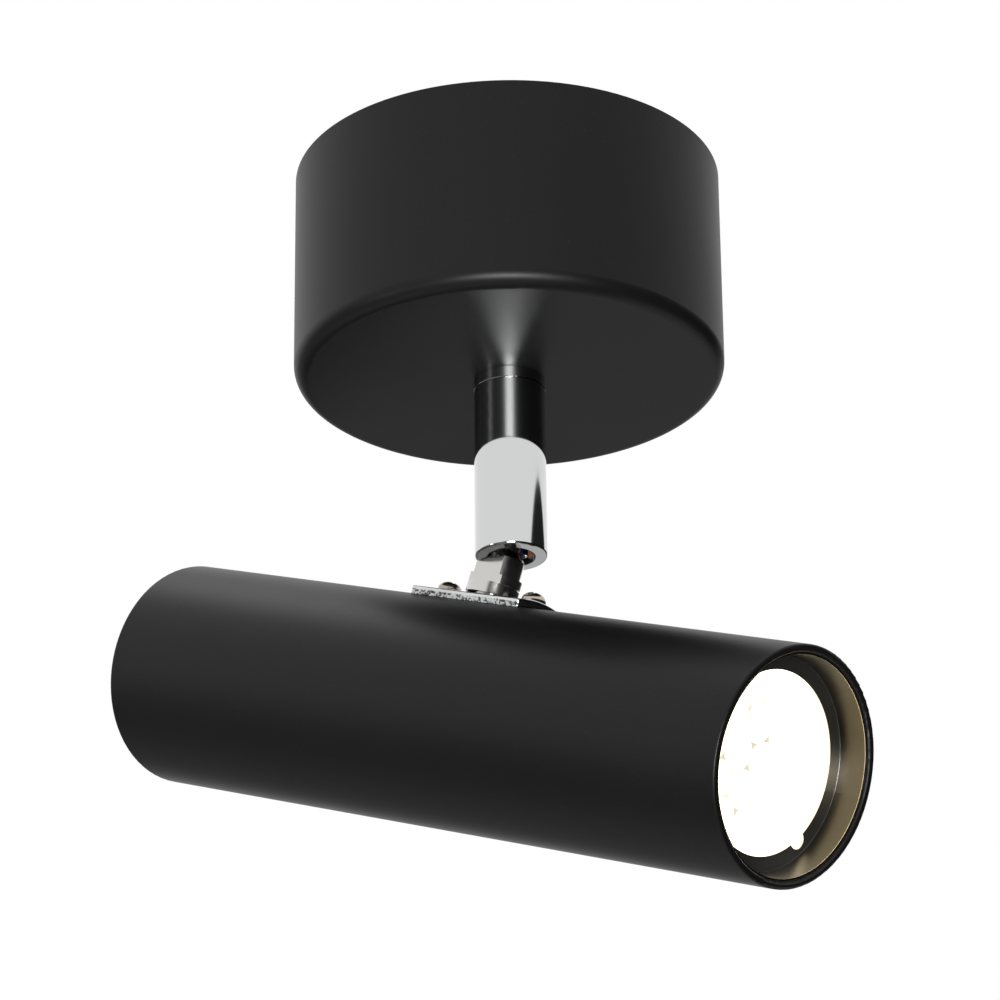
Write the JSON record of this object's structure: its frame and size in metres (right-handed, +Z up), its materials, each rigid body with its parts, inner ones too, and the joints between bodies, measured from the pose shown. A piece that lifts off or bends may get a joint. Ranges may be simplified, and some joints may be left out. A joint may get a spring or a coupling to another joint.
{
  "type": "ceiling spotlight",
  "caption": "Surface mounted ceiling spotlight: a tubular lamp head that swivels and tilts on a short stem under a round ceiling cup.",
  "frame": {"origin": "centre of the ceiling plate's upper face, which lies on the ceiling", "axes": "+Z up into the ceiling, -Y the way the lamp head points in plan, +X to the right seen from behind the head's mouth looking along -Y"},
  "size_m": [0.105, 0.206, 0.2007],
  "materials": {
    "black_enamel": "satin",
    "black_aluminium": "satin",
    "chrome": "polished",
    "zinc_plated": "satin",
    "brass": "satin",
    "black_rubber": "matte",
    "nylon": "matte",
    "white_plastic": "gloss",
    "clear_lens": "gloss",
    "grey_aluminium": "satin",
    "yellow_phosphor": "matte",
    "green_board": "satin",
    "ceramic": "matte",
    "brown_insulation": "matte",
    "blue_insulation": "matte",
    "green_yellow_insulation": "matte"
  },
  "bodies": {
    "mount": {"ceiling_plate": "zinc_plated", "canopy": "black_enamel", "canopy_side_screws": "black_enamel", "cable_bush": "black_rubber", "terminal_block": "white_plastic", "terminal_tubes": "brass", "terminal_screws": "zinc_plated", "terminal_block_screws": "zinc_plated", "earth_tag": "zinc_plated", "earth_screw": "brass", "hollow_bolt": "zinc_plated", "bolt_nut": "zinc_plated", "nut_washer": "zinc_plated", "canopy_collar": "chrome", "swivel_stop_pin": "zinc_plated", "slip_washer": "nylon", "spring_washer": "zinc_plated", "live_lead_canopy": "brown_insulation", "neutral_lead_canopy": "blue_insulation", "earth_lead_canopy": "green_yellow_insulation"},
    "stem": {"swivel_barrel": "chrome", "pivot_screw": "chrome", "pivot_washer": "zinc_plated", "live_lead_barrel": "brown_insulation", "neutral_lead_barrel": "blue_insulation", "earth_lead_barrel": "green_yellow_insulation"},
    "head": {"knuckle": "chrome", "saddle_plate": "chrome", "saddle_screws": "chrome", "lamp_tube": "black_aluminium", "rear_cap": "black_aluminium", "holder_bracket": "zinc_plated", "lampholder": "ceramic", "lampholder_contacts": "brass", "lampholder_screws": "zinc_plated", "tube_earth_tag": "zinc_plated", "tube_earth_screw": "brass", "live_lead_tube": "brown_insulation", "neutral_lead_tube": "blue_insulation", "earth_lead_tube": "green_yellow_insulation"},
    "lamp": {"lamp_housing": "grey_aluminium", "lamp_lens": "clear_lens", "led_board": "grey_aluminium", "led_chips": "yellow_phosphor", "led_driver": "green_board", "lamp_base": "white_plastic", "lamp_pins": "brass"},
    "ring": {"front_ring": "black_aluminium"}
  },
  "joints": [
    {"name": "swivel", "type": "hinge", "parent": "mount", "child": "stem", "pos_m": [0, 0, -0.057], "axis": [0, 0, 1], "range_deg": [-165, 165]},
    {"name": "tilt", "type": "hinge", "parent": "stem", "child": "head", "pos_m": [0, 0, -0.093], "axis": [1, 0, 0], "range_deg": [-21.2, 28.8]},
    {"name": "lamp_twist", "type": "hinge", "parent": "head", "child": "lamp", "pos_m": [0, 0.0171, -0.1371], "axis": [0, -0.9323, -0.3616], "range_deg": [0, 20]},
    {"name": "ring_pull", "type": "slide", "parent": "head", "child": "ring", "axis": [0, -0.9323, -0.3616], "range_m": [0, 0.03]}
  ]
}
